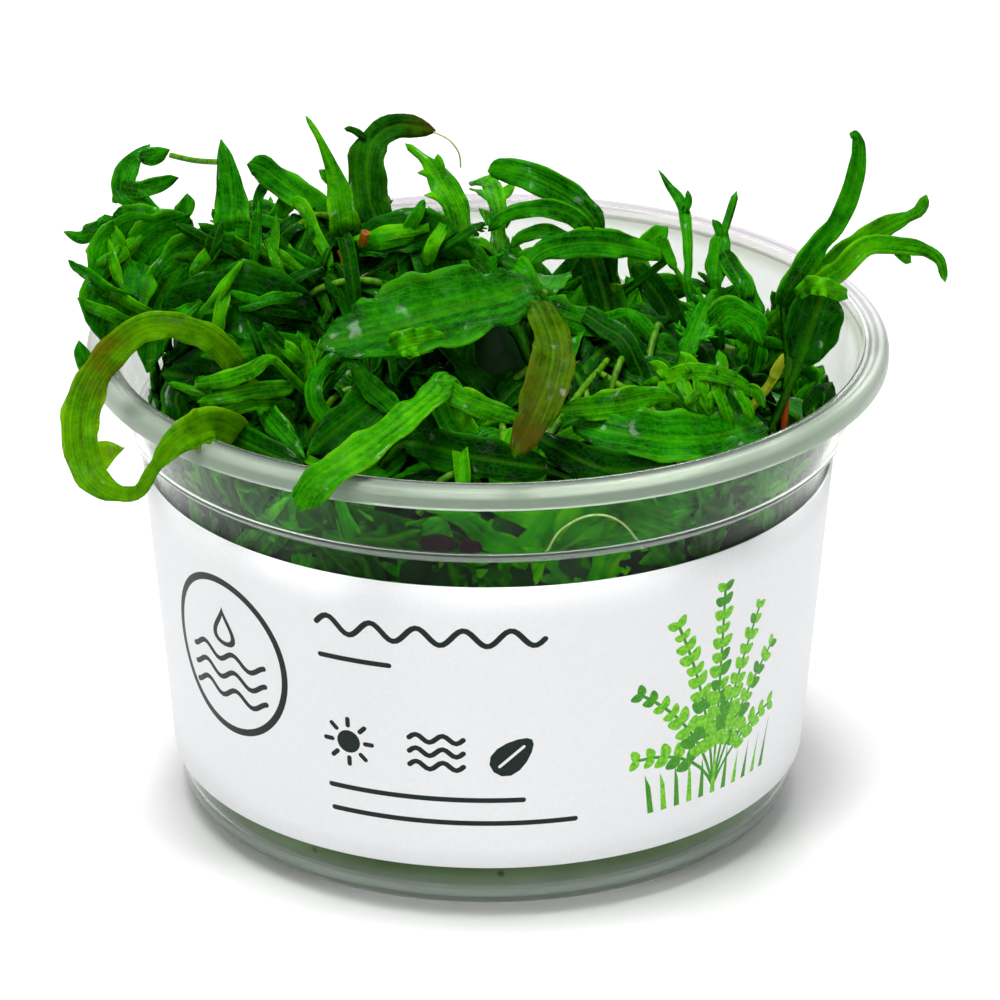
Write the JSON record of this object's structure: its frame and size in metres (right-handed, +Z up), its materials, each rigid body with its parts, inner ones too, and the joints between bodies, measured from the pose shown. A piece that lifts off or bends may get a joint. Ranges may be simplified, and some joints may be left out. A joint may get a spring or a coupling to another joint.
{
  "type": "tissue culture plant cup",
  "caption": "Clear round cup with a flat rim and wrap-round label, gel on its floor, packed with tangled green aquatic plantlets that spill over the rim.",
  "frame": {"origin": "centre of the cup's flat base, on the surface it stands on", "axes": "+Z up along the cup's axis, -Y towards the printed front of the label, +X to the right of the front"},
  "size_m": [0.0894, 0.08, 0.0717],
  "materials": {
    "clear_cup": "clear, slightly milky moulded plastic",
    "label_film": "satin printed film",
    "gel": "cloudy set jelly",
    "green_stem": "wet plant stem",
    "ripe_stem": "wet orange-brown plant stem",
    "shaded_leaf": "wet dark foliage",
    "green_leaf": "wet green leaf",
    "old_leaf": "wet olive-brown leaf"
  },
  "bodies": {
    "root": {"cup": "clear_cup", "label": "label_film", "nutrient_gel": "gel", "stem_left_back": "green_stem", "stem_left_front": "green_stem", "stem_centre_left": "green_stem", "stem_centre": "green_stem", "stem_back": "green_stem", "stem_right": "green_stem", "stem_right_ripe": "ripe_stem", "leaf_tangle": "shaded_leaf", "leaf_left_loop": "green_leaf", "leaf_left_curl": "green_leaf", "leaf_left_broad": "green_leaf", "leaf_left_high": "green_leaf", "leaf_left_point": "green_leaf", "leaf_left_arch": "green_leaf", "leaf_left_cross": "green_leaf", "leaf_left_shade": "green_leaf", "leaf_left_low": "green_leaf", "leaf_left_finger": "green_leaf", "leaf_left_fork": "green_leaf", "leaf_left_strap": "old_leaf", "leaf_left_front": "green_leaf", "leaf_spike": "green_leaf", "leaf_dark_arch": "green_leaf", "leaf_centre_back": "green_leaf", "leaf_back_swan": "green_leaf", "leaf_back_fingers": "green_leaf", "leaf_back_strap_left": "green_leaf", "leaf_back_strap_right": "green_leaf", "leaf_right_spikes": "green_leaf", "leaf_right_spire": "green_leaf", "leaf_right_feather": "green_leaf", "leaf_front_fan": "green_leaf", "leaf_centre_large": "green_leaf", "leaf_centre_shade": "green_leaf", "leaf_brown_strap": "old_leaf", "leaf_front_strap_left": "green_leaf", "leaf_front_strap_right": "green_leaf", "leaf_over_rim": "green_leaf", "leaf_front_under": "green_leaf", "leaf_curl_ring": "green_leaf", "leaf_centre_short": "green_leaf", "leaf_tall_right": "green_leaf", "leaf_right_branch": "green_leaf", "leaf_right_hook": "green_leaf", "leaf_right_dark": "green_leaf", "leaf_right_yellow": "green_leaf", "leaf_right_low": "green_leaf", "leaf_front_wide": "green_leaf", "leaf_front_low_left": "green_leaf", "leaf_front_low_right": "green_leaf", "leaf_rear_left": "green_leaf", "leaf_rear_low": "green_leaf", "leaf_rear_mid": "green_leaf", "leaf_rear_right": "green_leaf", "leaf_rear_side": "green_leaf", "leaf_rear_shoot": "green_leaf", "leaf_rear_corner": "green_leaf"}
  },
  "joints": []
}
